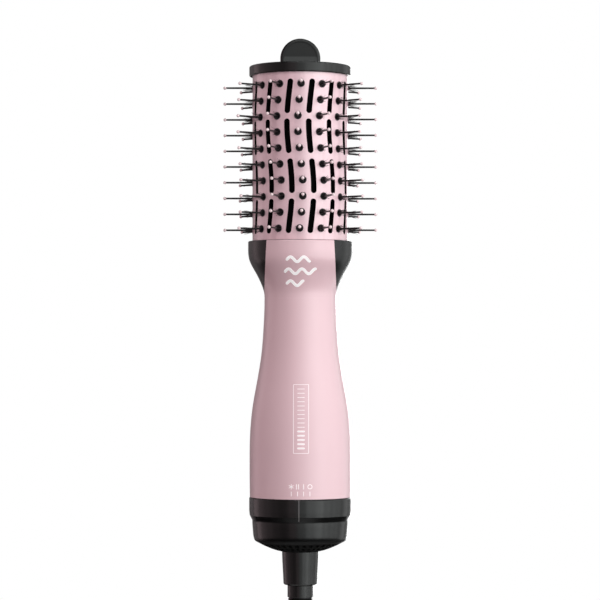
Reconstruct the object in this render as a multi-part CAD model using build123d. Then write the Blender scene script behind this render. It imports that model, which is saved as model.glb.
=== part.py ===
from build123d import *
import os
from math import sin, cos, pi, radians, sqrt

# Hot air brush, upright, +Z from the cord end to the cool tip, front = -Y.
# Origin at the centre of the cord end. Millimetres.

os.makedirs("parts", exist_ok=True)

# ---------------------------------------------------------------- driving sizes
BARREL_R = 25.4          # 2 inch barrel
BARREL_WALL = 1.2
Z_BARREL0 = 193.9
Z_BARREL1 = 281.4
BARREL_RI = BARREL_R - BARREL_WALL

CAP_R = 27.12
Z_CAP1 = 286.7
TAB_R = 10.65
Z_TAB_TOP = 301.5
TAB_T = 6.0              # tab thickness
TAB_RIM = 1.75
TAB_RECESS = 1.1

PIN_COLS = [0, 25.8, 52.4, 90, 127.6, 154.2, 180, -154.2, -127.6, -90, -52.4, -25.8]
SLOT_COLS = [13, 39.3, 66.9, 113.1, 140.7, 167, -167, -140.7, -113.1, -66.9, -39.3, -13]
ROWS = 10
ROW_PITCH = 8.39
Z_ROW1 = 275.3
WAVE_A = 1.35
WAVE_ROWS = 8.24
SLOT_W = 3.05
SLOT_L = 18.1
SLOT_PITCH = 20.86
Z_SLOT1 = 268.8
BOSS_R = 2.0
BOSS_PROUD = 0.12
PIN_R0 = 0.55
PIN_R1 = 0.46
EYE_R = 1.1             # floor of the dished eyelet, where the hair tuft is rooted
EYE_MOUTH_R = 1.86
EYE_FLOOR = 24.55
PIN_ROOT = 23.9
PIN_TIP_R = 40.03        # centre of the ball tip, from the axis
PIN_LEAN = 6.2           # the four columns beside the front and rear ones lean towards them, degrees
BALL_R = 0.86

CORE_RO = 22.6
CORE_RI = 21.4
STRIP_HALF = 2.5

WALL = 2.0               # handle shell wall
LIP = 0.6                # rounding of the handle's top edge
Z_SHELL0 = 58.6
Z_SHELL1 = 193.7
TONGUE_TOP_HALF = 17.66
TONGUE_SLOPE = 0.0535
HANDLE_PROFILE = [       # (radius, z) below the neck
    (26.74, 58.6), (26.86, 67.0), (26.89, 78.0), (26.77, 88.5), (26.27, 97.5),
    (25.26, 106.6), (23.60, 116.1), (21.87, 125.7), (20.52, 135.2),
    (19.60, 146.8), (19.09, 157.5), (19.00, 164.0)]
WING_PROFILE = [         # (radius, z) of the black collar's wings
    (19.00, 164.0), (20.62, 171.0), (23.27, 176.5), (25.80, 181.0),
    (27.20, 184.5), (27.66, 187.6), (27.70, 190.5)]
NECK_R = 19.00
WING_R = 27.70
TONGUE_R = 27.70
DUCT_R = 22.20             # top of the air duct inside the collar
COLLAR_IN = 3.05         # neck surface to the collar's air duct

RING_R = 27.1
RING_BORE = 24.70
RING_Z0 = 46.4
RING_Z1 = 58.3
RING_REST = -1.6         # where the pointer stands, degrees from the front
NECK_BRG_R = 24.62       # bearing surface for the ring

SLEEVE_RT = 9.70
SLEEVE_RB = 8.95
Z_SLEEVE0 = 12.3
STEM_R = 6.8
STEM_SHAFT_R = 6.30
SLEEVE_BORE = 6.38
CORD_BORE = 3.5

FAN_R = 21.3
SHROUD_RI = 21.9
SHROUD_RO = 22.7
MOTOR_R = 12.0
SHAFT_R = 1.0
BUSH_R = 1.06

HEAT_R = 13.0
MICA_RI = 15.1
MICA_RO = 15.67

OUT = {}


def cyl(r, z0, z1, x=0.0, y=0.0):
    return Pos(x, y, (z0 + z1) / 2) * Cylinder(r, z1 - z0)


def tube(ro, ri, z0, z1):
    return cyl(ro, z0, z1) - cyl(ri, z0 - 1, z1 + 1)


def box(x0, x1, y0, y1, z0, z1):
    return Pos((x0 + x1) / 2, (y0 + y1) / 2, (z0 + z1) / 2) * Box(x1 - x0, y1 - y0, z1 - z0)


def p3(r, z):
    return Vector(r, 0, z)


def turned(edges, arc=360.0):
    return revolve(make_face(edges), Axis.Z, revolution_arc=arc)


def turned_poly(pts, arc=360.0):
    return turned(Polyline(*[p3(r, z) for r, z in pts], close=True).edges(), arc)


def tongue_pts():
    k = (TONGUE_R - NECK_R) / (WING_R - NECK_R)
    return [(NECK_R + (r - NECK_R) * k, z) for r, z in WING_PROFILE]


def handle_edges(off, z_top):
    """Outline of the handle from its foot to its top, moved inwards by off."""
    lower = Spline(*[p3(r - off, z) for r, z in HANDLE_PROFILE],
                   tangents=[(0.012, 0, 1), (0, 0, 1)])
    upper = Spline(*[p3(r - off, z) for r, z in tongue_pts()],
                   tangents=[(0, 0, 1), (0, 0, 1)])
    zw = WING_PROFILE[-1][1]
    if off:
        return [lower, upper, Line(p3(TONGUE_R - off, zw), p3(TONGUE_R - off, z_top))]
    c, d = LIP, LIP * (1 - sqrt(0.5))
    return [lower, upper, Line(p3(TONGUE_R, zw), p3(TONGUE_R, z_top - c)),
            ThreePointArc(p3(TONGUE_R, z_top - c), p3(TONGUE_R - d, z_top - d), p3(TONGUE_R - c, z_top))]


def half_width(z):
    """Half width of the handle's tongue at height z."""
    return TONGUE_TOP_HALF + (Z_BARREL0 - z) * TONGUE_SLOPE


def wave(z):
    """Sideways shift of pins and slots at height z."""
    i = (Z_ROW1 - z) / ROW_PITCH
    return -WAVE_A * sin(2 * pi * (i - 0.38) / WAVE_ROWS)


def wavy_bar(z0, z1, half, r0, r1):
    """A round-ended bar that follows the wave, seen from -Y, between two depths."""
    a, b = z0 + half, z1 - half
    zs = [a + (b - a) * k / 6 for k in range(7)] if z1 - z0 < 40 else \
         [a + (b - a) * k / 22 for k in range(23)]
    left = Spline(*[Vector(wave(z) - half, -r0, z) for z in zs])
    right = Spline(*[Vector(wave(z) + half, -r0, z) for z in zs])
    top = ThreePointArc((wave(b) - half, -r0, b), (wave(b), -r0, z1), (wave(b) + half, -r0, b))
    bot = ThreePointArc((wave(a) - half, -r0, a), (wave(a), -r0, z0), (wave(a) + half, -r0, a))
    face = make_face([left, top, right, bot])
    return extrude(face, amount=r1 - r0, dir=(0, -1, 0))


def radial_cyl(r, y0, y1, x, z):
    """Cylinder along -Y from depth y0 to y1."""
    return Pos(x, -(y0 + y1) / 2, z) * Rot(90, 0, 0) * Cylinder(r, y1 - y0)


def save(name, shape, colour):
    shape.label = name
    shape.color = Color(*colour)
    OUT[name] = shape
    export_step(shape, f"parts/{name}.step")


PINK = (0.86, 0.68, 0.72)
PINK_METAL = (0.80, 0.58, 0.62)
BLACK = (0.06, 0.06, 0.06)
DARK = (0.12, 0.12, 0.12)
STEEL = (0.7, 0.7, 0.72)
MICA = (0.72, 0.63, 0.45)
BRASS = (0.78, 0.62, 0.28)

ROW_Z = [Z_ROW1 - ROW_PITCH * i for i in range(ROWS)]
SLOT_Z = [Z_SLOT1 - SLOT_PITCH * i for i in range(4)]

# ---------------------------------------------------------------- barrel
slot_tools = [wavy_bar(zc - SLOT_L / 2, zc + SLOT_L / 2, SLOT_W / 2, 23.4, 28.0) for zc in SLOT_Z]
hole_tools = [radial_cyl(BOSS_R, 23.4, 28.0, wave(z), z) for z in ROW_Z]
tools = []
for a in SLOT_COLS:
    tools += [Rot(0, 0, a) * t for t in slot_tools]
for a in PIN_COLS:
    tools += [Rot(0, 0, a) * t for t in hole_tools]
barrel = tube(BARREL_R, BARREL_RI, Z_BARREL0, Z_BARREL1) - tools
save("barrel_tube", barrel, PINK_METAL)

# inner air sleeve; its outlets sit behind the lands, so no slot looks straight in
core = tube(CORE_RO, CORE_RI, Z_BARREL0, 278.0)
outlets = [radial_cyl(1.25, 20.0, 24.0, wave(z), z) for z in
           [Z_SLOT1 - SLOT_PITCH * (i + 0.5) for i in range(3)]]
core = core - [Rot(0, 0, a) * t for a in SLOT_COLS for t in outlets]
save("barrel_core", core, DARK)


def pin_frame(z, lean):
    """Frame at an eyelet's floor: local Z points out along the pin."""
    return Pos(wave(z), -EYE_FLOOR, z) * Rot(0, 0, lean) * Rot(90, 0, 0)


def pin_shape(z, lean):
    root = EYE_FLOOR - PIN_ROOT
    run = PIN_TIP_R - PIN_ROOT
    return pin_frame(z, lean) * Pos(0, 0, run / 2 - root) * Cone(PIN_R0, PIN_R1, run)


# bristle strips: carrier and dished eyelets, one solid to a column
shell_ring = tube(BARREL_RI, CORE_RO, 197.2, 277.6)
strip = wavy_bar(197.2, 277.6, STRIP_HALF, 20.0, 26.0) & shell_ring
lumps = []
dish_out = BARREL_R + BOSS_PROUD
for z in ROW_Z:
    boss = radial_cyl(BOSS_R, 23.0, dish_out, wave(z), z)
    dish = Pos(wave(z), -(EYE_FLOOR + dish_out) / 2, z) * Rot(90, 0, 0) * \
        Cone(EYE_R, EYE_MOUTH_R, dish_out - EYE_FLOOR)
    dish = dish + radial_cyl(EYE_MOUTH_R, dish_out, 27.0, wave(z), z)
    lumps.append(boss - dish)
plain = strip.fuse(*lumps)
COL_LEAN = {25.8: -PIN_LEAN, -25.8: PIN_LEAN, 154.2: PIN_LEAN, -154.2: -PIN_LEAN}
strips, pins, all_balls = [], [], []
for lean in (0.0, -PIN_LEAN, PIN_LEAN):
    cols = [a for a in PIN_COLS if COL_LEAN.get(a, 0.0) == lean]
    set_pins = [pin_shape(z, lean) for z in ROW_Z]
    bored = plain - set_pins
    balls = [pin_frame(z, lean) * Pos(0, 0, PIN_TIP_R - EYE_FLOOR) * Sphere(BALL_R) - q
             for z, q in zip(ROW_Z, set_pins)]
    for a in cols:
        strips += (Rot(0, 0, a) * bored).solids()
        pins += [x for q in set_pins for x in (Rot(0, 0, a) * q).solids()]
        all_balls += [x for q in balls for x in (Rot(0, 0, a) * q).solids()]
save("bristle_strips", Compound(children=strips), DARK)
save("bristle_pins", Compound(children=pins), DARK)
save("bristle_ball_tips", Compound(children=all_balls), (0.93, 0.86, 0.86))

# ---------------------------------------------------------------- cool tip
cap = cyl(CAP_R, Z_BARREL1, Z_CAP1)
cap = fillet(cap.edges().filter_by(GeomType.CIRCLE), 0.7)
tab_zc = Z_TAB_TOP - TAB_R
outline = [Line((-TAB_R, 0, Z_CAP1 - 1.0), (-TAB_R, 0, tab_zc)),
           ThreePointArc((-TAB_R, 0, tab_zc), (0, 0, Z_TAB_TOP), (TAB_R, 0, tab_zc)),
           Line((TAB_R, 0, tab_zc), (TAB_R, 0, Z_CAP1 - 1.0)),
           Line((TAB_R, 0, Z_CAP1 - 1.0), (-TAB_R, 0, Z_CAP1 - 1.0))]
tab = extrude(make_face(outline), amount=TAB_T / 2, dir=(0, 1, 0), both=True)
ri = TAB_R - TAB_RIM
z_floor = 289.2
inner = [Line((-ri, 0, z_floor), (-ri, 0, tab_zc)),
         ThreePointArc((-ri, 0, tab_zc), (0, 0, tab_zc + ri), (ri, 0, tab_zc)),
         Line((ri, 0, tab_zc), (ri, 0, z_floor)),
         Line((ri, 0, z_floor), (-ri, 0, z_floor))]
rec = extrude(make_face(inner), amount=TAB_RECESS + 1, dir=(0, -1, 0))
tab = fillet(tab.edges().filter_by(GeomType.CIRCLE), 1.3)
for s in (1, -1):
    cut = Pos(0, -s * (TAB_T / 2 - TAB_RECESS) if s == 1 else 0, 0) * rec
    if s == -1:
        cut = Rot(0, 0, 180) * (Pos(0, -(TAB_T / 2 - TAB_RECESS), 0) * rec)
    tab = tab - cut
    ramp = make_face(Polyline(Vector(-ri, -(TAB_T / 2 - TAB_RECESS) + 0.2, z_floor - 0.2),
                              Vector(-ri, -(TAB_T / 2 - TAB_RECESS) + 0.2, z_floor + 2.9),
                              Vector(-ri, -(TAB_T / 2 - TAB_RECESS), z_floor + 2.7),
                              Vector(-ri, -TAB_T / 2, z_floor - 0.2), close=True).edges())
    ramp = extrude(ramp, amount=2 * ri, dir=(1, 0, 0))
    tab = tab + (ramp if s == 1 else Rot(0, 0, 180) * ramp)
cap = cap + tab
foot = [e for e in cap.edges().filter_by(Plane.XY)
        if abs(e.center().Z - Z_CAP1) < 0.02 and e.length < 25 and
        abs(e.center().X) <= TAB_R + 0.1 and abs(e.center().Y) <= TAB_T / 2 + 0.1]
if foot:
    cap = fillet(foot, 1.1)
cap = cap + tube(BARREL_RI, CORE_RO, 278.0, Z_BARREL1) + cyl(4.0, 278.0, Z_BARREL1) \
    - cyl(1.5, 270.0, 284.3)
save("cool_tip_cap", cap, BLACK)

save("end_plate", tube(CORE_RI - 0.02, 1.6, 276.8, 278.0) - [cyl(2.2, 276, 279, 13 * cos(a), 13 * sin(a))
     for a in [k * pi / 3 for k in range(6)]], STEEL)
screw = cyl(1.5, 276.8, 284.0) + cyl(2.8, 274.6, 276.8) - box(-2.0, 2.0, -0.35, 0.35, 274.0, 275.5) \
    - box(-0.35, 0.35, -2.0, 2.0, 274.0, 275.5)
save("tip_screw", screw, STEEL)

# ---------------------------------------------------------------- collar with two wings
wing_up = Spline(*[p3(r, z) for r, z in WING_PROFILE], tangents=[(0, 0, 1), (0, 0, 1)])
duct_k = (DUCT_R - NECK_R + COLLAR_IN) / (WING_R - NECK_R)
duct = Spline(*[p3(NECK_R - COLLAR_IN + (r - NECK_R) * duct_k, z) for r, z in WING_PROFILE],
              tangents=[(0, 0, 1), (0, 0, 1)])
zw = WING_PROFILE[-1][1]
collar = turned([duct,
                 Line(p3(DUCT_R, zw), p3(DUCT_R, Z_BARREL0)),
                 Line(p3(DUCT_R, Z_BARREL0), p3(WING_R - 0.7, Z_BARREL0)),
                 ThreePointArc(p3(WING_R - 0.7, Z_BARREL0), p3(WING_R - 0.205, Z_BARREL0 - 0.205),
                               p3(WING_R, Z_BARREL0 - 0.7)),
                 Line(p3(WING_R, Z_BARREL0 - 0.7), p3(WING_R, zw)),
                 wing_up,
                 Line(p3(NECK_R, 164.0), p3(NECK_R - COLLAR_IN, 164.0))])
plug = turned([Line(p3(0, 160), p3(NECK_R - WALL, 160)),
               Line(p3(NECK_R - WALL, 160), p3(NECK_R - WALL, 164.0)),
               Spline(*[p3(r - WALL, z) for r, z in tongue_pts()], tangents=[(0, 0, 1), (0, 0, 1)]),
               Line(p3(TONGUE_R - WALL, zw), p3(TONGUE_R - WALL, 200.0)),
               Line(p3(TONGUE_R - WALL, 200.0), p3(0, 200.0)),
               Line(p3(0, 200.0), p3(0, 160))])


def tongue_prism(extra):
    pts = [(-half_width(150) - extra, 150), (half_width(150) + extra, 150),
           (half_width(200) + extra, 200), (-half_width(200) - extra, 200)]
    f = make_face(Polyline(*[Vector(x, 0, z) for x, z in pts], close=True).edges())
    return extrude(f, amount=40, dir=(0, 1, 0), both=True)


collar = collar - (tongue_prism(0.0) - plug)
collar = collar + tube(BARREL_RI, CORE_RO, Z_BARREL0 - 0.2, 196.9)
save("barrel_collar", collar, BLACK)

# ---------------------------------------------------------------- handle shells
wall_face = handle_edges(0, Z_SHELL1) + handle_edges(WALL, Z_SHELL1) + [
    Line(p3(HANDLE_PROFILE[0][0], Z_SHELL0), p3(HANDLE_PROFILE[0][0] - WALL, Z_SHELL0)),
    Line(p3(TONGUE_R - LIP, Z_SHELL1), p3(TONGUE_R - WALL, Z_SHELL1))]
half = turned(wall_face, 180.0)
half = half - (box(-40, 40, -40, 40, 164.0, 200.0) - tongue_prism(0.0))
half = half - box(-40, 40, -1, 0.05, 0, 300)
SCREWS = [(19.4, 70.2), (-19.4, 70.2), (13.9, 139.4), (-13.9, 139.4)]


def wall_y(x, z):
    """Depth of the shell's outer face above x at height z."""
    pts = HANDLE_PROFILE
    for (r0, z0), (r1, z1) in zip(pts, pts[1:]):
        if z0 <= z <= z1:
            r = r0 + (r1 - r0) * (z - z0) / (z1 - z0)
            return sqrt(r * r - x * x)


outer_solid = turned([Line(p3(0, Z_SHELL0), p3(HANDLE_PROFILE[0][0], Z_SHELL0))] +
                     handle_edges(0, Z_SHELL1) +
                     [Line(p3(TONGUE_R - LIP, Z_SHELL1), p3(0, Z_SHELL1)), Line(p3(0, Z_SHELL1), p3(0, Z_SHELL0))])
rear = half
front = Rot(0, 0, 180) * half
for x, z in SCREWS:
    post = Pos(x, 15.0, z) * Rot(90, 0, 0) * Cylinder(2.7, 30.0 - 0.1)
    rear = rear + (post & outer_solid)
    post_f = Pos(x, -15.0, z) * Rot(90, 0, 0) * Cylinder(2.7, 30.0 - 0.1)
    front = front + (post_f & outer_solid)
screws = []
for x, z in SCREWS:
    yo = wall_y(abs(x) + 2.2, z)
    head_y = yo - 4.6
    rear = rear - Pos(x, head_y + 10, z) * Rot(90, 0, 0) * Cylinder(2.05, 20.0)
    rear = rear - Pos(x, head_y / 2, z) * Rot(90, 0, 0) * Cylinder(1.1, head_y + 2)
    tip = -min(wall_y(abs(x), z) - 3.5, 9.0)
    front = front - Pos(x, (tip + 1) / 2, z) * Rot(90, 0, 0) * Cylinder(1.1, 1 - tip)
    s = Pos(x, (head_y + tip) / 2, z) * Rot(90, 0, 0) * Cylinder(1.1, head_y - tip)
    hd = Pos(x, head_y + 0.75, z) * Rot(90, 0, 0) * Cylinder(2.0, 1.5)
    hd = hd - Pos(x, head_y + 1.5, z) * Box(2.6, 1.2, 0.55) - Pos(x, head_y + 1.5, z) * Box(0.55, 1.2, 2.6)
    screws += (s + hd).solids()
save("rear_handle_shell", rear, PINK)
save("front_handle_shell", front, PINK)
save("handle_screws", Compound(children=screws), STEEL)

# ---------------------------------------------------------------- control ring
ring = turned_poly([(RING_BORE, RING_Z0), (25.5, RING_Z0), (26.85, 49.05), (RING_R, 51.5),
                    (RING_R, RING_Z1), (RING_BORE, RING_Z1)])
top_edges = [e for e in ring.edges().filter_by(GeomType.CIRCLE)
             if abs(e.center().Z - RING_Z1) < 0.01 and e.radius > 26]
ring = fillet(top_edges, 0.5)
low_edges = [e for e in ring.edges().filter_by(GeomType.CIRCLE)
             if abs(e.center().Z - 49.05) < 0.01 and e.radius > 26]
ring = fillet(low_edges, 0.5)
lug = box(-1.1, 1.1, 19.1, 25.6, 50.0, 54.0)
ring = ring + lug
ring_inner = turned_poly([(RING_BORE - 1, 46.2), (25.12, 46.2), (26.45, 49.05), (RING_R - 0.42, 51.5),
                          (RING_R - 0.42, 60.5), (RING_BORE - 1, 60.5)])
groove = Rot(0, 0, RING_REST) * (box(-0.28, 0.28, -30, -20, 47.1, 60.0) - ring_inner)
ring_full = ring
ring = ring - groove
save("control_ring", ring, BLACK)
pointer = ring_full & groove
save("ring_pointer", pointer, (0.75, 0.75, 0.75))

# ---------------------------------------------------------------- inlet housing
house = turned([
    Polyline(p3(22.3, 67.0), p3(24.45, 67.0), p3(24.45, 58.5), p3(NECK_BRG_R, 58.5),
             p3(NECK_BRG_R, 46.1), p3(25.45, 46.1), p3(25.45, 45.0)),
    Spline(p3(25.45, 45.0), p3(25.32, 42.9), p3(25.08, 39.8), p3(24.62, 36.9), p3(23.75, 35.35),
           tangents=[(0, 0, -1), (-1, 0, -0.62)]),
    Spline(p3(23.75, 35.35), p3(22.64, 34.75), p3(19.99, 33.35), p3(17.34, 32.15),
           p3(14.69, 31.1), p3(12.04, 30.3), p3(9.3, 29.75), tangents=[(-1, 0, -0.62), (-1, 0, -0.15)]),
    Line(p3(9.3, 29.75), p3(9.3, 31.75)),
    Spline(p3(9.3, 31.75), p3(12.04, 32.3), p3(14.69, 33.1), p3(17.34, 34.2), p3(19.99, 35.5),
           p3(22.1, 37.0), p3(22.3, 38.6), tangents=[(1, 0, 0.15), (0, 0, 1)]),
    Line(p3(22.3, 38.6), p3(22.3, 67.0))])
grille = []
for n, r0, r1, w in ((18, 10.9, 13.6, 2.05), (36, 14.5, 17.6, 1.65), (36, 18.6, 22.0, 2.0)):
    bar = box(-w / 2, w / 2, -r1, -r0, 25, 45)
    bar = fillet(bar.edges().filter_by(Axis.Z), min(w * 0.3, 0.5))
    grille += [Rot(0, 0, 360.0 / n * (k + (0 if n == 18 else 0.5))) * bar for k in range(n)]
band = tube(22.05, 10.6, 28.0, 37.0)
house = house - [g & band for g in grille]
# window for the ring's lug
house = house - box(-7.6, 6.1, 20.0, 26.0, 49.3, 54.7)
# two guides for the circuit board
for s in (1, -1):
    g = box(12.6, 21.6, 7.4, 11.6, 47.0, 66.0) - box(10.0, 14.4, 8.7, 10.3, 44.0, 70.0)
    g = g & cyl(22.6, 40, 70)
    house = house + (g if s == 1 else mirror(g, Plane.YZ))
save("inlet_housing", house, BLACK)

filt = tube(22.28, 10.6, 39.4, 40.0) + tube(22.28, 21.2, 38.7, 40.0) + tube(11.6, 10.6, 38.7, 40.0)
save("intake_filter", filt, DARK)

# ---------------------------------------------------------------- switch and board
board = box(-14.4, 14.4, 8.7, 10.3, 45.0, 68.0)
save("circuit_board", board, (0.12, 0.3, 0.16))
sw = box(-9.5, 8.5, 10.3, 16.5, 48.3, 55.7) - box(-7.1, 6.0, 13.4, 17.0, 50.7, 53.3)
save("switch_body", sw, DARK)
slider = box(-2.0, 2.0, 13.8, 16.9, 51.0, 53.0) + box(-3.2, 3.2, 16.8, 20.6, 49.6, 54.4)
slider = slider - box(-1.8, 1.8, 17.8, 22.0, 49.0, 55.0)
save("switch_slider", slider, (0.85, 0.85, 0.82))
diodes = []
for k in range(4):
    diodes += (Pos(0, 7.35, 53.5 + 4 * k) * Rot(0, 90, 0) * Cylinder(1.35, 5.2)).solids()
save("rectifier_diodes", Compound(children=diodes), BLACK)

# ---------------------------------------------------------------- motor, fan and shroud
shroud = tube(SHROUD_RO, SHROUD_RI, 73.6, 92.0)
cup = tube(13.2, MOTOR_R, 86.6, 98.0) + tube(13.2, 3.0, 86.6, 88.0)
for k in range(7):
    vane = Pos(17.6, 0, 89.3) * Rot(-24, 0, 0) * Box(9.6, 1.1, 5.4)
    vane = vane & tube(22.2, 12.6, 86.6, 92.0)
    cup = cup + Rot(0, 0, 360 / 7 * k) * vane
shroud = shroud + cup
save("motor_shroud", shroud, DARK)

can = cyl(MOTOR_R, 88.0, 114.0) - cyl(MOTOR_R - 0.9, 89.2, 115.0) - cyl(2.6, 87.0, 90.0)
save("motor_can", can, STEEL)
mag = tube(MOTOR_R - 0.9, 9.6, 93.0, 110.0) - box(-20, 20, -2.2, 2.2, 90, 112)
save("motor_magnets", mag, (0.2, 0.2, 0.22))
endc = cyl(MOTOR_R, 114.0, 116.5) + tube(MOTOR_R - 0.9, 9.8, 112.4, 114.0) - cyl(2.6, 112.0, 118.0)
endc = endc + box(-8.2, -7.4, -1.4, 1.4, 116.5, 120.5) + box(7.4, 8.2, -1.4, 1.4, 116.5, 120.5)
save("motor_end_cap", endc, (0.9, 0.9, 0.88))
bush = tube(2.6, BUSH_R, 88.0, 91.0).solids() + tube(2.6, BUSH_R, 113.6, 116.5).solids()
save("motor_bushes", Compound(children=bush), BRASS)
shaft = cyl(SHAFT_R, 74.6, 117.4)
save("motor_shaft", shaft, STEEL)
rotor = tube(9.0, SHAFT_R, 94.0, 108.0) + tube(3.2, SHAFT_R, 108.0, 112.2)
slots = []
for k in range(5):
    slots.append(Rot(0, 0, 72 * k) * box(5.2, 12, -0.6, 0.6, 93, 108.5))
    slots.append(Rot(0, 0, 72 * k) * box(4.4, 7.6, -1.6, 1.6, 93, 108.5))
rotor = rotor - slots
save("motor_rotor", rotor, (0.45, 0.3, 0.2))
hub = tube(7.4, SHAFT_R, 75.2, 85.6)
hub = fillet([e for e in hub.edges().filter_by(GeomType.CIRCLE)
              if e.radius > 5 and e.center().Z < 76], 2.2)
for k in range(7):
    b = Pos(14.2, 0, 80.4) * Rot(38, 0, 0) * Box(15.4, 11.6, 1.1)
    b = b & tube(FAN_R, 6.6, 75.4, 85.4)
    hub = hub + Rot(0, 0, 360 / 7 * k) * b
save("fan_impeller", hub, (0.85, 0.86, 0.86))

# ---------------------------------------------------------------- heater
cross = box(-12.5, 12.5, -0.4, 0.4, 150.0, 236.0) + box(-0.4, 0.4, -12.5, 12.5, 150.0, 236.0)
cross = cross + box(-MICA_RI + 0.02, MICA_RI - 0.02, -0.4, 0.4, 150.0, 155.0) + \
    box(-0.4, 0.4, -MICA_RI + 0.02, MICA_RI - 0.02, 150.0, 155.0)
save("mica_frame", cross, MICA)
save("mica_sleeve", tube(MICA_RO, MICA_RI, 148.0, 240.0), MICA)
COIL_P = 5.6
coil_path = Pos(0, 0, 158.0) * Helix(pitch=COIL_P, height=COIL_P * 12, radius=HEAT_R + 0.05)
coil = sweep(Plane(origin=coil_path @ 0, z_dir=coil_path % 0) * Circle(0.42), coil_path, is_frenet=True)
save("heater_coil", coil, (0.6, 0.55, 0.5))
save("thermostat", cyl(3.5, 156.0, 161.0, 3.9, 3.9) + box(1.4, 2.2, 3.4, 4.4, 161.0, 164.0) +
     box(5.6, 6.4, 3.4, 4.4, 161.0, 164.0), (0.8, 0.8, 0.8))
save("thermal_fuse", cyl(1.5, 158.0, 167.0, -1.9, 1.9) + cyl(0.4, 152.0, 173.0, -1.9, 1.9), BRASS)


def lead(points, radii, r, ang):
    path = FilletPolyline(*[Vector(a, 0, z) for a, z in points], radius=radii)
    sec = Plane(origin=path @ 0, z_dir=path % 0) * Circle(r)
    return Rot(0, 0, ang) * sweep(sec, path)


leads = []
for a in (70.0, 110.0):
    w = lead([(11.66, 58.0), (11.66, 69.0), (23.4, 71.4), (23.4, 93.0), (13.9, 146.6), (13.9, 152.0)],
             [3.0, 4.0, 30.0, 14.0], 0.62, a)
    leads += w.solids()
save("heater_leads", Compound(children=leads), (0.75, 0.1, 0.1))

# ---------------------------------------------------------------- cord swivel
sleeve = turned([
    Polyline(p3(SLEEVE_BORE, Z_SLEEVE0), p3(SLEEVE_RB - 0.55, Z_SLEEVE0), p3(SLEEVE_RB, Z_SLEEVE0 + 0.55),
             p3(9.15, 17.5), p3(9.34, 21.0), p3(9.53, 24.2), p3(SLEEVE_RT - 0.05, 27.6),
             p3(SLEEVE_RT, 29.2), p3(SLEEVE_RT, 29.7), p3(9.27, 29.7), p3(9.27, 32.0),
             p3(10.3, 32.0), p3(10.3, 33.4), p3(SLEEVE_BORE, 33.4), p3(SLEEVE_BORE, Z_SLEEVE0))])
save("swivel_sleeve", sleeve, BLACK)

stem = turned([
    Polyline(p3(4.0, 5.6), p3(STEM_R - 0.15, 5.6), p3(STEM_R, 5.75), p3(STEM_R, 11.8),
             p3(STEM_R - 0.2, 12.0), p3(STEM_SHAFT_R, 12.0), p3(STEM_SHAFT_R, 33.8),
             p3(5.0, 33.8), p3(5.0, 43.0), p3(4.0, 43.0), p3(4.0, 5.6))])
save("swivel_stem", stem, BLACK)
nose = turned([
    Polyline(p3(CORD_BORE, 0.0), p3(4.6, 0.0)),
    Spline(p3(4.6, 0.0), p3(5.55, 1.4), p3(6.15, 3.4), p3(6.5, 4.75), tangents=[(1, 0, 0.6), (0.25, 0, 1)]),
    Polyline(p3(6.5, 4.75), p3(6.1, 4.95), p3(6.1, 5.6), p3(CORD_BORE, 5.6), p3(CORD_BORE, 0.0))])
save("gland_nose", nose, BLACK)
rings = tube(5.75, 5.0, 35.6, 37.2).solids() + tube(5.75, 5.0, 39.4, 41.0).solids()
save("slip_rings", Compound(children=rings), BRASS)
clip = tube(7.4, 5.01, 33.8, 34.6) - box(-1.6, 1.6, -9, 0, 33, 36)
save("swivel_clip", clip, STEEL)
carrier = box(-6.0, 6.0, 6.4, 8.0, 33.4, 43.4)
carrier = carrier + box(-6.0, 6.0, 6.4, 9.6, 33.4, 34.9)
carrier = carrier - cyl(7.8, 33.0, 34.95)
save("contact_carrier", carrier, DARK)
leaf = box(-4.5, 4.5, 6.08, 6.4, 35.8, 37.0).solids() + box(-4.5, 4.5, 6.08, 6.4, 39.6, 40.8).solids()
save("contact_leaves", Compound(children=leaf), BRASS)
sup = cyl(0.62, 43.4, 50.0, -4.0, 8.06).solids() + cyl(0.62, 43.4, 50.0, 4.0, 8.06).solids()
save("supply_leads", Compound(children=sup), (0.1, 0.2, 0.6))

total = Compound(children=[s for v in OUT.values() for s in v.solids()])
bb = total.bounding_box()
print("nodes", len(OUT))
print("box", bb.min, bb.max)
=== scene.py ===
import bpy
import bmesh
import math
import random
from mathutils import Matrix, Vector
from mathutils.bvhtree import BVHTree


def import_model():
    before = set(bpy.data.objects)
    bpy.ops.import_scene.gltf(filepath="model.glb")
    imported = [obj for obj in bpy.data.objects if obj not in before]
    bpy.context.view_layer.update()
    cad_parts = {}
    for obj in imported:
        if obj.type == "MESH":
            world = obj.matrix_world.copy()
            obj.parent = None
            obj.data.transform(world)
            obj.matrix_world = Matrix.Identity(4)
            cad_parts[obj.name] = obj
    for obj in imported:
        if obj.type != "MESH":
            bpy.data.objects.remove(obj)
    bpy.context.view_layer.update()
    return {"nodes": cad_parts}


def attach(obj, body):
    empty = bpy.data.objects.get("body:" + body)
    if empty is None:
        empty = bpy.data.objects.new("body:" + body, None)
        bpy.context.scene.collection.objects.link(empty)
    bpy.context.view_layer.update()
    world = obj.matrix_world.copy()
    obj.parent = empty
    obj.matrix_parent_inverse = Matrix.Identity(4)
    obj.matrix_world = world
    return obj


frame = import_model()
NODE = frame["nodes"]
MM = 0.001

# ------------------------------------------------------------------ camera
AXIS_Z0 = 0.1389          # eye level
DIST = 1.3258
cam_data = bpy.data.cameras.new("photo_camera")
cam_data.sensor_width = 36.0
cam_data.lens = 150.0
cam_data.clip_start = 0.05
cam_data.clip_end = 60.0
cam = bpy.data.objects.new("photo_camera", cam_data)
cam.location = (-0.00018, -DIST, AXIS_Z0)
cam.rotation_euler = (math.radians(90.0) + math.atan(45.0 / 2500.0), 0.0, 0.0)
bpy.context.scene.collection.objects.link(cam)
bpy.context.scene.camera = cam


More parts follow.
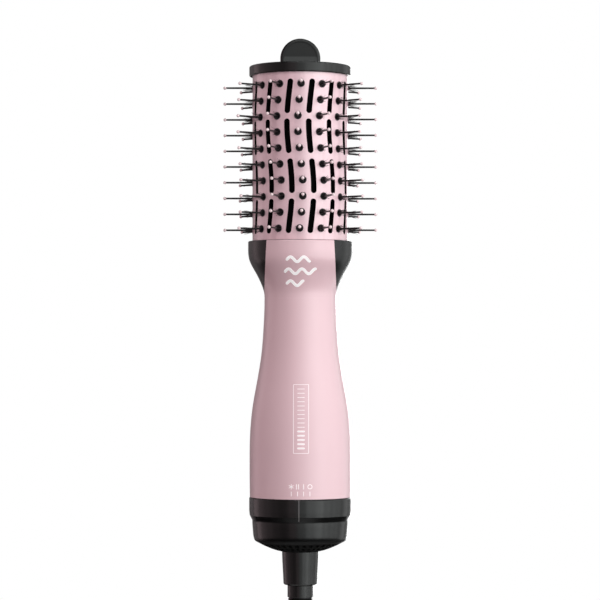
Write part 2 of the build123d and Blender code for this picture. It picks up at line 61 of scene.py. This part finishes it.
# ------------------------------------------------------------------ helpers
def link(obj):
    bpy.context.scene.collection.objects.link(obj)
    return obj


def mesh_object(name, verts, faces, smooth=True):
    me = bpy.data.meshes.new(name)
    me.from_pydata([tuple(v) for v in verts], [], faces)
    me.validate()
    me.update()
    if smooth:
        for p in me.polygons:
            p.use_smooth = True
    return link(bpy.data.objects.new(name, me))


def set_material(obj, mat):
    obj.data.materials.clear()
    obj.data.materials.append(mat)


def paint_node(name, mat):
    o = NODE[name]
    if not o.material_slots:
        o.data.materials.append(mat)
    for s in o.material_slots:
        s.material = mat


# ------------------------------------------------------------------ materials
class Mat:
    """A node material built step by step: every surface gets its own procedural detail."""

    def __init__(self, name):
        self.m = bpy.data.materials.new(name)
        self.m.use_nodes = True
        self.t = self.m.node_tree
        self.t.nodes.clear()
        self.out = self.t.nodes.new("ShaderNodeOutputMaterial")
        self.bsdf = self.t.nodes.new("ShaderNodeBsdfPrincipled")
        self.t.links.new(self.bsdf.outputs[0], self.out.inputs[0])
        self.co = self.t.nodes.new("ShaderNodeTexCoord").outputs["Object"]

    def link(self, a, b):
        self.t.links.new(a, b)

    def node(self, kind, **props):
        n = self.t.nodes.new(kind)
        for k, v in props.items():
            setattr(n, k, v)
        return n

    def noise(self, scale, detail=2.0, rough=0.5, stretch=None):
        co = self.co
        if stretch:
            mp = self.node("ShaderNodeMapping")
            mp.inputs["Scale"].default_value = stretch
            self.link(co, mp.inputs["Vector"])
            co = mp.outputs[0]
        n = self.node("ShaderNodeTexNoise")
        n.inputs["Scale"].default_value = scale
        n.inputs["Detail"].default_value = detail
        n.inputs["Roughness"].default_value = rough
        self.link(co, n.inputs["Vector"])
        return n.outputs["Fac"]

    def ramp(self, fac, stops):
        r = self.node("ShaderNodeValToRGB")
        e = r.color_ramp.elements
        e[0].position, e[0].color = stops[0][0], (*stops[0][1], 1)
        e[1].position, e[1].color = stops[-1][0], (*stops[-1][1], 1)
        for p, c in stops[1:-1]:
            x = e.new(p)
            x.color = (*c, 1)
        self.link(fac, r.inputs["Fac"])
        return r.outputs["Color"]

    def span(self, fac, lo, hi, a=0.3, b=0.7):
        n = self.node("ShaderNodeMapRange")
        n.inputs["From Min"].default_value = a
        n.inputs["From Max"].default_value = b
        n.inputs["To Min"].default_value = lo
        n.inputs["To Max"].default_value = hi
        self.link(fac, n.inputs["Value"])
        return n.outputs["Result"]

    def bump(self, height, strength, dist):
        n = self.node("ShaderNodeBump")
        n.inputs["Strength"].default_value = strength
        n.inputs["Distance"].default_value = dist
        self.link(height, n.inputs["Height"])
        self.link(n.outputs["Normal"], self.bsdf.inputs["Normal"])
        return n

    def set(self, **kw):
        names = {"rough": "Roughness", "metal": "Metallic", "ior": "IOR", "spec": "Specular IOR Level",
                 "coat": "Coat Weight", "coat_rough": "Coat Roughness", "sss": "Subsurface Weight",
                 "trans": "Transmission Weight", "sheen": "Sheen Weight", "sheen_rough": "Sheen Roughness",
                 "sss_scale": "Subsurface Scale"}
        for k, v in kw.items():
            self.bsdf.inputs[names[k]].default_value = v
        return self


def tone(c, k):
    return tuple(max(0.0, min(1.0, x * k)) for x in c)


def lin(r, g, b):
    """sRGB 0-255 to linear."""
    def f(v):
        v = v / 255.0
        return v / 12.92 if v <= 0.04045 else ((v + 0.055) / 1.055) ** 2.4
    return (f(r), f(g), f(b))


def plastic(name, colour, rough, grain=0.05, grain_scale=2600.0, vary=0.05, coat=0.0, spec=0.5,
            coat_rough=0.3, sss=0.0):
    """Moulded plastic: slight tone drift, roughness drift and a fine moulded grain."""
    m = Mat(name)
    big = m.noise(38.0, 3.0, 0.55)
    m.link(m.ramp(big, [(0.30, tone(colour, 1 - vary)), (0.52, colour), (0.74, tone(colour, 1 + vary))]),
           m.bsdf.inputs["Base Color"])
    mid = m.noise(160.0, 4.0, 0.6)
    m.link(m.span(mid, rough - 0.035, rough + 0.035), m.bsdf.inputs["Roughness"])
    fine = m.noise(grain_scale, 3.0, 0.6)
    m.bump(fine, grain, 0.00006)
    m.set(spec=spec, coat=coat, coat_rough=coat_rough, sss=sss)
    if sss:
        m.set(sss_scale=0.002)
    return m.m


PINK = (0.826, 0.578, 0.621)
BARREL_PINK = (0.906, 0.622, 0.678)

mat_pink = plastic("satin_pink", PINK, 0.42, grain=0.08, grain_scale=3000.0, vary=0.012, coat=0.9, coat_rough=0.26)


def barrel_paint():
    m = Mat("metallic_pink")
    flake = m.noise(5200.0, 2.0, 0.7)
    big = m.noise(30.0, 2.0, 0.5)
    c1 = m.ramp(flake, [(0.35, tone(BARREL_PINK, 0.95)), (0.55, BARREL_PINK), (0.75, tone(BARREL_PINK, 1.06))])
    # painted shade: the slot walls and the bore, inside 25.31 mm radius and between the barrel's ends, get near-black
    # instead of the pink
    sep = m.node("ShaderNodeSeparateXYZ")
    m.link(m.co, sep.inputs[0])
    flat = m.node("ShaderNodeCombineXYZ")
    m.link(sep.outputs["X"], flat.inputs["X"])
    m.link(sep.outputs["Y"], flat.inputs["Y"])
    rad = m.node("ShaderNodeVectorMath", operation="LENGTH")
    m.link(flat.outputs[0], rad.inputs[0])
    skin = m.node("ShaderNodeMath", operation="GREATER_THAN")
    skin.inputs[1].default_value = 0.02531
    m.link(rad.outputs["Value"], skin.inputs[0])
    below = m.node("ShaderNodeMath", operation="LESS_THAN")
    below.inputs[1].default_value = 0.1955
    m.link(sep.outputs["Z"], below.inputs[0])
    above = m.node("ShaderNodeMath", operation="GREATER_THAN")
    above.inputs[1].default_value = 0.2830
    m.link(sep.outputs["Z"], above.inputs[0])
    ends = m.node("ShaderNodeMath", operation="MAXIMUM")
    m.link(below.outputs[0], ends.inputs[0])
    m.link(above.outputs[0], ends.inputs[1])
    unshaded_skin = m.node("ShaderNodeMath", operation="MAXIMUM")
    m.link(skin.outputs[0], unshaded_skin.inputs[0])
    m.link(ends.outputs[0], unshaded_skin.inputs[1])
    # faint lengthwise bands in the metallic lacquer
    streak = m.noise(210.0, 2.0, 0.5, stretch=(1.0, 1.0, 0.03))
    band = m.node("ShaderNodeMix", data_type="RGBA", blend_type="MULTIPLY")
    band.inputs[0].default_value = 1.0
    m.link(c1, band.inputs[6])
    m.link(m.ramp(streak, [(0.36, (0.90, 0.875, 0.885)), (0.50, (0.97, 0.965, 0.967)), (0.64, (1.0, 1.0, 1.0))]),
           band.inputs[7])
    # near-black painted shade where unshaded_skin is 0, the streaked pink elsewhere
    mix = m.node("ShaderNodeMix", data_type="RGBA")
    m.link(unshaded_skin.outputs[0], mix.inputs[0])
    mix.inputs[6].default_value = (0.004, 0.0035, 0.0036, 1)
    m.link(band.outputs[2], mix.inputs[7])
    m.link(mix.outputs[2], m.bsdf.inputs["Base Color"])
    m.link(m.span(big, 0.30, 0.34), m.bsdf.inputs["Roughness"])
    m.bump(flake, 0.05, 0.00004)
    m.set(metal=0.0, spec=0.35, coat=1.0, coat_rough=0.25)
    m.bsdf.inputs["Coat IOR"].default_value = 2.0
    return m.m


mat_barrel = barrel_paint()
mat_black = plastic("black_fine_matt", lin(17, 17, 17), 0.23, grain=0.05, grain_scale=2400.0, vary=0.10, spec=0.43)
mat_black_soft = plastic("black_satin", lin(17, 17, 17), 0.22, grain=0.05, grain_scale=2800.0, vary=0.08, spec=0.43)
mat_black_deep = plastic("black_inner", lin(12, 11, 12), 0.60, grain=0.10, grain_scale=1800.0, vary=0.15, spec=0.2)
mat_core = plastic("black_core", lin(4, 4, 4), 0.75, grain=0.10, grain_scale=1800.0, vary=0.15, spec=0.05)
mat_nose = plastic("black_nose", lin(7, 7, 7), 0.38, grain=0.06, grain_scale=2400.0, vary=0.10, spec=0.22)
mat_wing = plastic("black_wing", lin(19, 20, 20), 0.30, grain=0.06, grain_scale=2600.0, vary=0.08, spec=0.42)


def bell_black():
    """The bell's black: fine matt on its side, open grained on the grille underneath."""
    m = Mat("black_bell")
    big = m.noise(38.0, 3.0, 0.55)
    base = lin(14, 14, 14)
    m.link(m.ramp(big, [(0.30, tone(base, 0.9)), (0.52, base), (0.74, tone(base, 1.1))]), m.bsdf.inputs["Base Color"])
    sep = m.node("ShaderNodeSeparateXYZ")
    m.link(m.co, sep.inputs[0])
    low = m.node("ShaderNodeMapRange")
    low.inputs["From Min"].default_value = 0.0345
    low.inputs["From Max"].default_value = 0.0370
    low.inputs["To Min"].default_value = 0.85
    low.inputs["To Max"].default_value = 0.23
    m.link(sep.outputs["Z"], low.inputs["Value"])
    m.link(low.outputs["Result"], m.bsdf.inputs["Roughness"])
    sheen = m.node("ShaderNodeMapRange")
    sheen.inputs["From Min"].default_value = 0.0345
    sheen.inputs["From Max"].default_value = 0.0370
    sheen.inputs["To Min"].default_value = 0.16
    sheen.inputs["To Max"].default_value = 0.43
    m.link(sep.outputs["Z"], sheen.inputs["Value"])
    m.link(sheen.outputs["Result"], m.bsdf.inputs["Specular IOR Level"])
    fine = m.noise(2400.0, 3.0, 0.6)
    m.bump(fine, 0.05, 0.00006)
    return m.m


mat_bell = bell_black()


def eyelet_nylon():
    """Dark nylon, with a painted highlight: paler at the mouth of each eyelet."""
    m = Mat("bristle_nylon")
    sep = m.node("ShaderNodeSeparateXYZ")
    m.link(m.co, sep.inputs[0])
    flat = m.node("ShaderNodeCombineXYZ")
    m.link(sep.outputs["X"], flat.inputs["X"])
    m.link(sep.outputs["Y"], flat.inputs["Y"])
    rad = m.node("ShaderNodeVectorMath", operation="LENGTH")
    m.link(flat.outputs[0], rad.inputs[0])
    # painted highlight: the eyelet mouth, from 24.85 to 25.15 mm radius, blends to the paler nylon
    mouth_highlight_mask = m.node("ShaderNodeMapRange")
    mouth_highlight_mask.inputs["From Min"].default_value = 0.02485
    mouth_highlight_mask.inputs["From Max"].default_value = 0.02515
    m.link(rad.outputs["Value"], mouth_highlight_mask.inputs["Value"])
    mott = m.noise(900.0, 3.0, 0.6)
    dark = m.ramp(mott, [(0.3, lin(22, 20, 21)), (0.7, lin(30, 28, 29))])
    pale = m.ramp(mott, [(0.3, lin(70, 67, 69)), (0.7, lin(88, 85, 87))])
    mix = m.node("ShaderNodeMix", data_type="RGBA")
    m.link(mouth_highlight_mask.outputs["Result"], mix.inputs[0])
    m.link(dark, mix.inputs[6])
    m.link(pale, mix.inputs[7])
    m.link(mix.outputs[2], m.bsdf.inputs["Base Color"])
    fine = m.noise(3000.0, 3.0, 0.6)
    m.link(m.span(fine, 0.28, 0.36), m.bsdf.inputs["Roughness"])
    m.bump(fine, 0.06, 0.00006)
    m.set(spec=0.5)
    return m.m


mat_eyelet = eyelet_nylon()
for m_ in (mat_black, mat_black_soft, mat_wing, mat_bell):
    for n_ in m_.node_tree.nodes:
        if n_.type == "BSDF_PRINCIPLED":
            n_.inputs["Specular Tint"].default_value = (0.957, 1.0, 0.99, 1)
mat_pin = plastic("pin_nylon", lin(26, 24, 25), 0.30, grain=0.05, grain_scale=3500.0, vary=0.10, spec=0.4)
mat_tuft = plastic("bristle_hair", lin(40, 38, 38), 0.45, grain=0.05, grain_scale=4000.0, vary=0.25)
mat_ball = plastic("ball_tip_resin", lin(246, 226, 228), 0.22, grain=0.03, grain_scale=2000.0, vary=0.03, coat=0.4,
                   coat_rough=0.08)
mat_print = plastic("white_print", lin(250, 248, 248), 0.5, grain=0.04, vary=0.01)
mat_print_fine = plastic("fine_print", lin(246, 232, 235), 0.5, grain=0.04, vary=0.01)
# the print also glows faintly white (emission 0.22): painted light on the marks
for m_ in (mat_print, mat_print_fine):
    for n_ in m_.node_tree.nodes:
        if n_.type == "BSDF_PRINCIPLED":
            n_.inputs["Emission Color"].default_value = (1, 1, 1, 1)
            n_.inputs["Emission Strength"].default_value = 0.22
mat_pointer = plastic("grey_inlay", lin(96, 94, 95), 0.45, grain=0.06, vary=0.03)


def metal(name, colour, rough, stretch=(1, 1, 60)):
    m = Mat(name)
    streak = m.noise(300.0, 3.0, 0.6, stretch=stretch)
    m.link(m.ramp(streak, [(0.3, tone(colour, 0.88)), (0.7, tone(colour, 1.08))]), m.bsdf.inputs["Base Color"])
    m.link(m.span(streak, rough - 0.06, rough + 0.08), m.bsdf.inputs["Roughness"])
    m.bump(streak, 0.08, 0.00005)
    m.set(metal=1.0)
    return m.m


mat_steel = metal("steel", (0.55, 0.55, 0.57), 0.32)
mat_brass = metal("brass", (0.70, 0.52, 0.22), 0.30)
mat_copper = metal("copper_winding", (0.62, 0.30, 0.16), 0.38, stretch=(1, 1, 8))
mat_white = plastic("white_moulding", lin(228, 226, 220), 0.45, grain=0.08, vary=0.03)
mat_board = plastic("solder_mask", lin(24, 74, 40), 0.30, grain=0.05, vary=0.10, coat=0.3)
mat_red = plastic("red_insulation", lin(160, 28, 30), 0.42, grain=0.05, vary=0.05)
mat_blue = plastic("blue_insulation", lin(34, 60, 140), 0.42, grain=0.05, vary=0.05)


def mica():
    m = Mat("mica")
    a = m.noise(90.0, 6.0, 0.7)
    b = m.noise(900.0, 3.0, 0.6)
    m.link(m.ramp(a, [(0.3, (0.34, 0.25, 0.13)), (0.5, (0.50, 0.40, 0.24)), (0.75, (0.62, 0.53, 0.36))]),
           m.bsdf.inputs["Base Color"])
    m.link(m.span(b, 0.28, 0.5), m.bsdf.inputs["Roughness"])
    m.bump(b, 0.15, 0.0001)
    return m.m


mat_mica = mica()

FINISH = {
    "front_handle_shell": mat_pink, "rear_handle_shell": mat_pink, "barrel_tube": mat_barrel,
    "barrel_core": mat_core, "bristle_strips": mat_eyelet, "bristle_pins": mat_pin, "bristle_ball_tips": mat_ball,
    "cool_tip_cap": mat_black, "end_plate": mat_steel, "tip_screw": mat_steel, "barrel_collar": mat_wing,
    "handle_screws": mat_steel, "control_ring": mat_black_soft, "ring_pointer": mat_pointer,
    "inlet_housing": mat_bell, "intake_filter": mat_black_deep, "circuit_board": mat_board,
    "switch_body": mat_black_deep, "switch_slider": mat_white, "rectifier_diodes": mat_black,
    "motor_shroud": mat_black_deep, "motor_can": mat_steel, "motor_magnets": mat_black_deep,
    "motor_end_cap": mat_white, "motor_bushes": mat_brass, "motor_shaft": mat_steel, "motor_rotor": mat_copper,
    "fan_impeller": mat_white, "mica_frame": mat_mica, "mica_sleeve": mat_mica, "heater_coil": mat_steel,
    "thermostat": mat_steel, "thermal_fuse": mat_brass, "heater_leads": mat_red, "supply_leads": mat_blue,
    "swivel_sleeve": mat_black_soft, "swivel_stem": mat_black_soft, "gland_nose": mat_nose,
    "slip_rings": mat_brass, "swivel_clip": mat_steel, "contact_carrier": mat_black_deep,
    "contact_leaves": mat_brass}
for n, m_ in FINISH.items():
    paint_node(n, m_)

# ------------------------------------------------------------------ shared dimensions (mm)
PIN_COLS = [0, 25.8, 52.4, 90, 127.6, 154.2, 180, -154.2, -127.6, -90, -52.4, -25.8]
ROWS, ROW_PITCH, Z_ROW1, WAVE_A, WAVE_ROWS = 10, 8.39, 275.3, 1.35, 8.24
PIN_LEAN = 6.2
COL_LEAN = {25.8: -PIN_LEAN, -25.8: PIN_LEAN, 154.2: PIN_LEAN, -154.2: -PIN_LEAN}
EYE_FLOOR = 24.55
HANDLE = [(26.74, 58.6), (26.86, 67.0), (26.89, 78.0), (26.77, 88.5), (26.27, 97.5),
          (25.26, 106.6), (23.60, 116.1), (21.87, 125.7), (20.52, 135.2),
          (19.60, 146.8), (19.09, 157.5), (19.00, 164.0)]
TONGUE = [(19.00, 164.0), (20.62, 171.0), (23.27, 176.5), (25.80, 181.0),
        (27.20, 184.5), (27.66, 187.6), (27.70, 190.5)]


def wave(z):
    i = (Z_ROW1 - z) / ROW_PITCH
    return -WAVE_A * math.sin(2 * math.pi * (i - 0.38) / WAVE_ROWS)


def curve_value(pts, z, m0=None, m1=None):
    """Smooth interpolation through (value, z) points, with z rising."""
    zs = [p[1] for p in pts]
    rs = [p[0] for p in pts]
    n = len(pts)
    if z <= zs[0]:
        return rs[0]
    if z >= zs[-1]:
        return rs[-1]
    d = [(rs[i + 1] - rs[i]) / (zs[i + 1] - zs[i]) for i in range(n - 1)]
    m = [0.0] * n
    m[0] = d[0] if m0 is None else m0
    m[-1] = d[-1] if m1 is None else m1
    for i in range(1, n - 1):
        h0, h1 = zs[i] - zs[i - 1], zs[i + 1] - zs[i]
        m[i] = (d[i - 1] * h1 + d[i] * h0) / (h0 + h1)
    for i in range(n - 1):
        if zs[i] <= z <= zs[i + 1]:
            h = zs[i + 1] - zs[i]
            t = (z - zs[i]) / h
            return ((2 * t ** 3 - 3 * t ** 2 + 1) * rs[i] + (t ** 3 - 2 * t ** 2 + t) * h * m[i] +
                    (-2 * t ** 3 + 3 * t ** 2) * rs[i + 1] + (t ** 3 - t ** 2) * h * m[i + 1])


def handle_r(z):
    if z <= 164.0:
        return curve_value(HANDLE, z, 0.012, 0.0)
    return curve_value(TONGUE, z, 0.0, 0.0)


# ------------------------------------------------------------------ hair tufts
def tufts():
    rnd = random.Random(5)
    verts, faces = [], []
    sides, segs = 3, 4
    for a in PIN_COLS:
        ca, sa = math.cos(math.radians(a)), math.sin(math.radians(a))
        tilt = math.radians(COL_LEAN.get(a, 0.0))
        ct, st = math.cos(tilt), math.sin(tilt)

        for i in range(ROWS):
            z0 = Z_ROW1 - ROW_PITCH * i
            t0 = wave(z0)

            def world(u, d, z):
                """u across the pin, d out along it from the eyelet's floor."""
                t = t0 + u * ct + d * st
                r = EYE_FLOOR + d * ct - u * st
                return ((ca * t + sa * r) * MM, (sa * t - ca * r) * MM, z * MM)

            for k in range(26):
                ang = rnd.uniform(0, 2 * math.pi)
                rr = 0.62 + 0.42 * math.sqrt(rnd.random())
                bt, bz = rr * math.cos(ang), z0 + rr * math.sin(ang)
                lean = math.radians(rnd.uniform(2, 19)) * (0.4 + 0.6 * rr / 1.04)
                aim = ang + rnd.uniform(-0.4, 0.4)
                length = rnd.uniform(4.0, 6.2)
                bend = rnd.uniform(-0.12, 0.22)
                w0 = rnd.uniform(0.09, 0.13)
                base = len(verts)
                for s in range(segs + 1):
                    f = s / segs
                    dist = length * f
                    off = math.sin(lean) * dist + bend * f * f
                    t = bt + off * math.cos(aim)
                    z = bz + off * math.sin(aim)
                    d = -0.03 + math.cos(lean) * dist
                    w = w0 * (1 - 0.62 * f)
                    for q in range(sides):
                        qa = 2 * math.pi * q / sides
                        verts.append(world(t + w * math.cos(qa), d, z + w * math.sin(qa)))
                for s in range(segs):
                    for q in range(sides):
                        q2 = (q + 1) % sides
                        faces.append((base + s * sides + q, base + s * sides + q2,
                                      base + (s + 1) * sides + q2, base + (s + 1) * sides + q))
                faces.append(tuple(base + q for q in reversed(range(sides))))
                faces.append(tuple(base + segs * sides + q for q in range(sides)))
    o = mesh_object("bristle_tufts", verts, faces)
    set_material(o, mat_tuft)
    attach(o, "root")
    return o


tufts()


# ------------------------------------------------------------------ printed marks
front = NODE["front_handle_shell"]
front_tree = BVHTree.FromObject(front, bpy.context.evaluated_depsgraph_get())
front_to = front.matrix_world.inverted()


def on_handle(u, z, lift):
    """Point lift mm off the front of the handle, u mm to the right of the middle."""
    start = front_to @ Vector((u * MM, -0.06, z * MM))
    way = (front_to.to_3x3() @ Vector((0, 1, 0))).normalized()
    hit = front_tree.ray_cast(start, way, 0.06)[0]
    if hit is None:
        r = handle_r(z)
        y = -math.sqrt(max(r * r - u * u, 0.0)) * MM
    else:
        y = (front.matrix_world @ hit).y
    out = Vector((u * MM, y, 0.0)).normalized() * lift * MM
    return (u * MM + out.x, y + out.y, z * MM)


def ribbon(points, width, closed=False):
    """Left and right edges of a stroke through (u, v) points."""
    n = len(points)
    left, right = [], []
    for i, (u, v) in enumerate(points):
        if closed:
            p, q = points[(i - 1) % n], points[(i + 1) % n]
        else:
            p, q = points[max(i - 1, 0)], points[min(i + 1, n - 1)]
        du, dv = q[0] - p[0], q[1] - p[1]
        s = math.hypot(du, dv) or 1.0
        nu, nv = -dv / s, du / s
        left.append((u + nu * width / 2, v + nv * width / 2))
        right.append((u - nu * width / 2, v - nv * width / 2))
    return left, right


def print_strokes(name, strokes, body, mat, surf=on_handle, top=0.03, low=-0.06):
    verts, faces = [], []
    for pts, width, closed in strokes:
        if not closed:
            # rounded ends
            def cap(p, q):
                a = math.atan2(p[1] - q[1], p[0] - q[0])
                return a
            a0 = cap(pts[0], pts[1])
            a1 = cap(pts[-1], pts[-2])
            left, right = ribbon(pts, width)
            loop = list(left)
            for k in range(1, 8):
                ang = a1 + math.pi / 2 - math.pi * k / 8
                loop.append((pts[-1][0] + width / 2 * math.cos(ang), pts[-1][1] + width / 2 * math.sin(ang)))
            loop += list(reversed(right))
            for k in range(1, 8):
                ang = a0 + math.pi / 2 - math.pi * k / 8
                loop.append((pts[0][0] + width / 2 * math.cos(ang), pts[0][1] + width / 2 * math.sin(ang)))
            b = len(verts)
            n = len(left)
            m = len(loop)
            for u, v in loop:
                verts.append(surf(u, v, top))
            for u, v in loop:
                verts.append(surf(u, v, low))
            # quads across the stroke
            for i in range(n - 1):
                l0, l1 = i, i + 1
                r0, r1 = n + 7 + (n - 1 - i), n + 7 + (n - 2 - i)
                faces.append((b + l0, b + r0, b + r1, b + l1))
                faces.append((b + m + l0, b + m + l1, b + m + r1, b + m + r0))
            end = list(range(n - 1, n + 8))
            faces.append(tuple(b + i for i in end))
            faces.append(tuple(b + m + i for i in reversed(end)))
            start = list(range(n + 7 + n - 1, m)) + [0]
            faces.append(tuple(b + i for i in start))
            faces.append(tuple(b + m + i for i in reversed(start)))
            for i in range(m):
                j = (i + 1) % m
                faces.append((b + i, b + m + i, b + m + j, b + j))
        else:
            left, right = ribbon(pts, width, True)
            n = len(pts)
            b = len(verts)
            for lst, lift in ((left, top), (right, top), (left, low), (right, low)):
                for u, v in lst:
                    verts.append(surf(u, v, lift))
            for i in range(n):
                j = (i + 1) % n
                faces.append((b + i, b + n + i, b + n + j, b + j))
                faces.append((b + 2 * n + i, b + 2 * n + j, b + 3 * n + j, b + 3 * n + i))
                faces.append((b + i, b + j, b + 2 * n + j, b + 2 * n + i))
                faces.append((b + n + i, b + 3 * n + i, b + 3 * n + j, b + n + j))
    o = mesh_object(name, verts, faces, smooth=False)
    bm = bmesh.new()
    bm.from_mesh(o.data)
    bmesh.ops.recalc_face_normals(bm, faces=bm.faces)
    bm.to_mesh(o.data)
    bm.free()
    set_material(o, mat)
    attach(o, body)
    return o


def circle(cu, cv, r, n=28):
    return [(cu + r * math.cos(2 * math.pi * k / n), cv + r * math.sin(2 * math.pi * k / n)) for k in range(n)]


def disc_stroke(cu, cv, r):
    """A filled dot drawn as a very short, round-ended stroke."""
    return ([(cu - 0.02, cv), (cu + 0.02, cv)], 2 * r, False)


def line(u0, v0, u1, v1, width, n=2):
    return ([(u0 + (u1 - u0) * k / n, v0 + (v1 - v0) * k / n) for k in range(n + 1)], width, False)


def marks():
    # three streams of air near the top of the handle
    st = []
    for u0, u1, v0 in ((-6.9, 4.7, 183.5), (-7.9, 7.8, 177.3), (-6.9, 1.4, 171.2)):
        n = int((u1 - u0) * 5)
        st.append(([(u0 + (u1 - u0) * i / n, v0 + 1.25 * math.sin(2 * math.pi * (u1 - u0) * i / n / 7.0))
                    for i in range(n + 1)], 1.45, False))
    print_strokes("airflow_mark", st, "root", mat_print, top=0.06, low=-0.12)
    # a framed scale on the grip, fine above and bold below
    st = []
    zt, zb, uc, hw = 118.3, 82.6, 0.35, 3.95
    rc = 0.25
    loop = []
    for cu, cv, a0 in ((uc + hw - rc, zt - rc, 0.0), (uc - hw + rc, zt - rc, 90.0),
                       (uc - hw + rc, zb + rc, 180.0), (uc + hw - rc, zb + rc, 270.0)):
        for k in range(5):
            a = math.radians(a0 + 22.5 * k)
            loop.append((cu + rc * math.cos(a), cv + rc * math.sin(a)))
        nxt = {0.0: (uc - hw + rc, zt), 90.0: (uc - hw, zb + rc), 180.0: (uc + hw - rc, zb),
               270.0: (uc + hw, zt - rc)}[a0]
        last = loop[-1]
        m = 12
        for k in range(1, m):
            loop.append((last[0] + (nxt[0] - last[0]) * k / m, last[1] + (nxt[1] - last[1]) * k / m))
    st.append((loop, 0.27, True))
    for k in range(10):
        v = 116.0 - 2.2 * k
        st.append(line(uc - 1.75, v, uc + 1.75, v, 0.34))
    for k in range(5):
        v = 94.0 - 2.2 * k
        st.append(line(uc - 1.55, v, uc + 1.55, v, 0.95))
    print_strokes("grip_mark", st, "root", mat_print_fine)
    # setting marks above the ring: snowflake, two bars, one bar, circle, each over its index line
    st = []
    rr = 26.8
    zc = 65.3
    u = [rr * math.sin(math.radians(a)) for a in (-10.2, -3.1, 3.6, 10.7)]
    w = 0.34
    for k in range(3):
        a = math.pi / 3 * k + math.pi / 2
        st.append(line(u[0] - 1.3 * math.cos(a), zc - 1.3 * math.sin(a),
                       u[0] + 1.3 * math.cos(a), zc + 1.3 * math.sin(a), w))
    for du in (-0.55, 0.55):
        st.append(line(u[1] + du, zc - 1.2, u[1] + du, zc + 1.2, w * 1.15))
    st.append(line(u[2], zc - 1.2, u[2], zc + 1.2, w * 1.15))
    st.append((circle(u[3], zc, 1.1), w, True))
    for x in u:
        st.append(line(x, 60.5, x, 62.7, w))
    print_strokes("setting_marks", st, "root", mat_print_fine)


marks()

# ------------------------------------------------------------------ floor, light, world
bm = bmesh.new()
bmesh.ops.create_circle(bm, cap_ends=True, radius=0.46, segments=128)
me = bpy.data.meshes.new("floor")
bm.to_mesh(me)
bm.free()
floor = link(bpy.data.objects.new("floor", me))
floor.location = (0, 0, -0.61)
fm = Mat("pale_floor")
fm.link(fm.ramp(fm.noise(6.0, 3.0), [(0.3, (0.80, 0.80, 0.80)), (0.7, (0.84, 0.84, 0.84))]),
        fm.bsdf.inputs["Base Color"])
fm.set(rough=0.7)
set_material(floor, fm.m)


def area(name, az, el, dist, w, h, power, aim=(0, 0, 0.16), tint=(1, 1, 1)):
    d = bpy.data.lights.new(name, "AREA")
    d.shape = "RECTANGLE"
    d.size, d.size_y = w, h
    d.energy = power
    d.color = tint
    o = link(bpy.data.objects.new(name, d))
    a, e = math.radians(az), math.radians(el)
    c = Vector(aim)
    o.location = c + Vector((math.sin(a) * math.cos(e), -math.cos(a) * math.cos(e), math.sin(e))) * dist
    o.rotation_euler = (c - o.location).to_track_quat("-Z", "Y").to_euler()
    return o


# a ring of tall strip softboxes, strong from the front right round to the right, faint and warm on the left
WARM, WHITE = (1.0, 0.77, 0.81), (1.0, 1.0, 1.0)
STRIPS = [(-165, 0.7, (1.0, 0.92, 0.93)), (-140, 0.78, (1.0, 0.87, 0.90)), (-118, 2.15, WARM), (-98, 1.20, WARM),
          (-78, 0.96, WARM), (-58, 0.60, WARM), (-38, 0.38, WARM), (-18, 1.10, WARM), (2, 1.65, WHITE),
          (22, 3.50, WHITE), (42, 4.50, WHITE), (58, 3.15, WHITE), (74, 2.55, WHITE), (90, 2.15, WHITE),
          (106, 1.26, WHITE), (124, 1.84, WHITE), (145, 0.80, WHITE), (168, 9.0, WHITE)]
for az, watts, tint in STRIPS:
    area("strip_%+04d" % az, az, 8, 1.2, 0.42, 1.5, watts, aim=(0, 0, 0.15), tint=tint)
area("top_front", 0, 45, 1.2, 0.8, 0.5, 2.14, aim=(0, 0, 0.15))
area("top", 8, 74, 1.2, 0.7, 0.7, 1.8, aim=(0, 0, 0.15))

world = bpy.data.worlds.new("studio")
bpy.context.scene.world = world
world.use_nodes = True
wt = world.node_tree
wt.nodes.clear()
wo = wt.nodes.new("ShaderNodeOutputWorld")
mix = wt.nodes.new("ShaderNodeMixShader")
lp = wt.nodes.new("ShaderNodeLightPath")
amb = wt.nodes.new("ShaderNodeBackground")
amb.inputs[0].default_value = (1, 1, 1, 1)
amb.inputs[1].default_value = 0.01
seen = wt.nodes.new("ShaderNodeBackground")
seen.inputs[0].default_value = (1, 1, 1, 1)
seen.inputs[1].default_value = 1.0
wt.links.new(lp.outputs["Is Camera Ray"], mix.inputs[0])
wt.links.new(amb.outputs[0], mix.inputs[1])
wt.links.new(seen.outputs[0], mix.inputs[2])
wt.links.new(mix.outputs[0], wo.inputs[0])

bpy.context.scene.view_settings.view_transform = "Standard"
bpy.context.scene.view_settings.look = "None"
